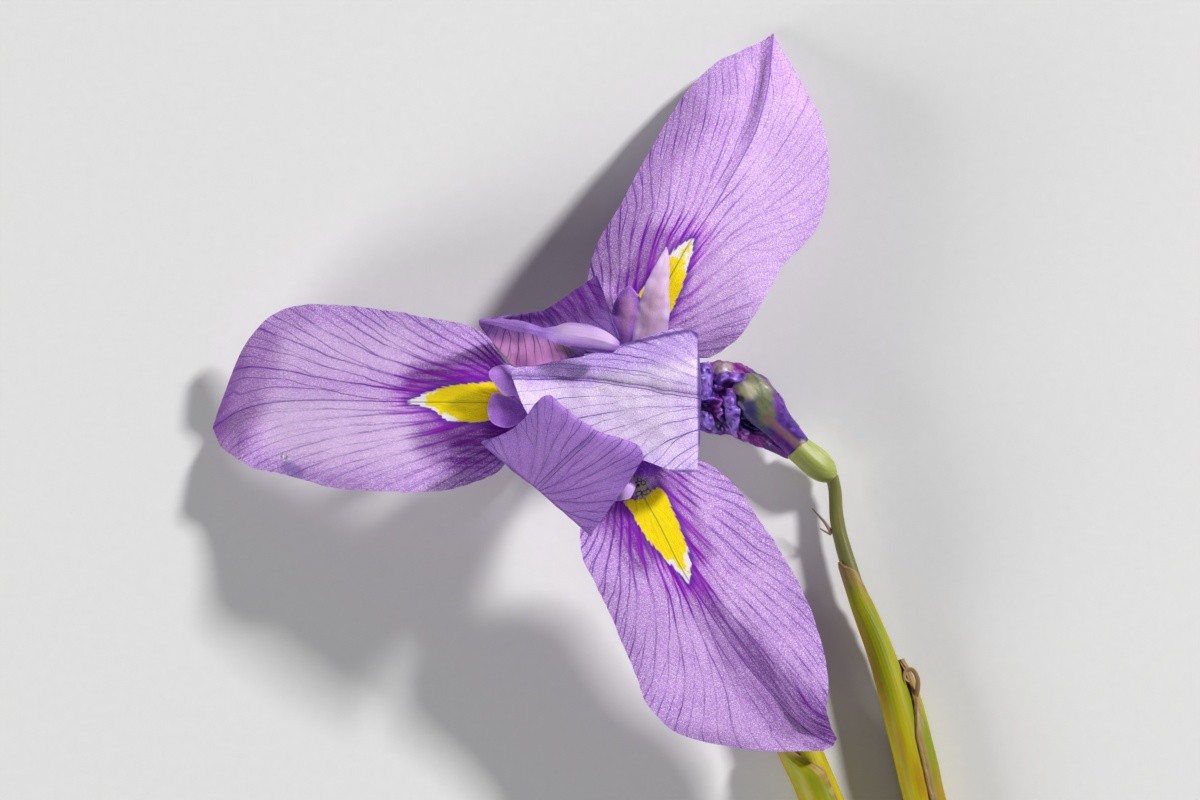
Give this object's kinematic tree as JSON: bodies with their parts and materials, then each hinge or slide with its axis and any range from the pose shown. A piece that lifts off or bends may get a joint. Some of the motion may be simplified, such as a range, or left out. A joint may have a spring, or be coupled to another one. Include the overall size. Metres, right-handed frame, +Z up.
{
  "type": "moraea flower",
  "caption": "Cut flower lying on a surface: a wide three-fold bloom facing up, with a withered bloom beside it on the same forked stem in leafy sheaths.",
  "frame": {"origin": "on the surface that the flower lies on, in the middle of the small flat spot under the open bloom's ovary, straight below the middle of the bloom", "axes": "+Z up, the way the open bloom faces; -Y towards the cut end of the stem; +X towards the spent bloom"},
  "size_m": [0.077, 0.1112, 0.0215],
  "materials": {
    "tepal_outer": "fresh lilac petal with violet veins, sparkling cells and a yellow patch",
    "tepal_inner": "fresh violet petal, thin and veined",
    "style": "smooth violet petal-like crests",
    "stamen": "pollen-dusted anthers",
    "ovary": "smooth waxy pale green",
    "stem": "smooth ribbed green",
    "bract": "yellow-green leaf with dry papery edges",
    "spent": "wet collapsed petal, dark violet"
  },
  "bodies": {
    "root": {"outer_tepal_left": "tepal_outer", "outer_tepal_upper": "tepal_outer", "outer_tepal_lower": "tepal_outer", "inner_tepal_right": "tepal_inner", "inner_tepal_lower": "tepal_inner", "inner_tepal_upper": "tepal_inner", "style": "style", "stamens": "stamen", "ovary_open": "ovary", "ovary_spent": "ovary", "stem": "stem", "bract_open_outer": "bract", "bract_open_inner": "bract", "bract_spent_outer": "bract", "bract_spent_inner": "bract", "spent_tepal_front": "spent", "spent_tepal_upper": "spent", "spent_tepal_lower": "spent", "spent_core": "spent"}
  },
  "joints": []
}
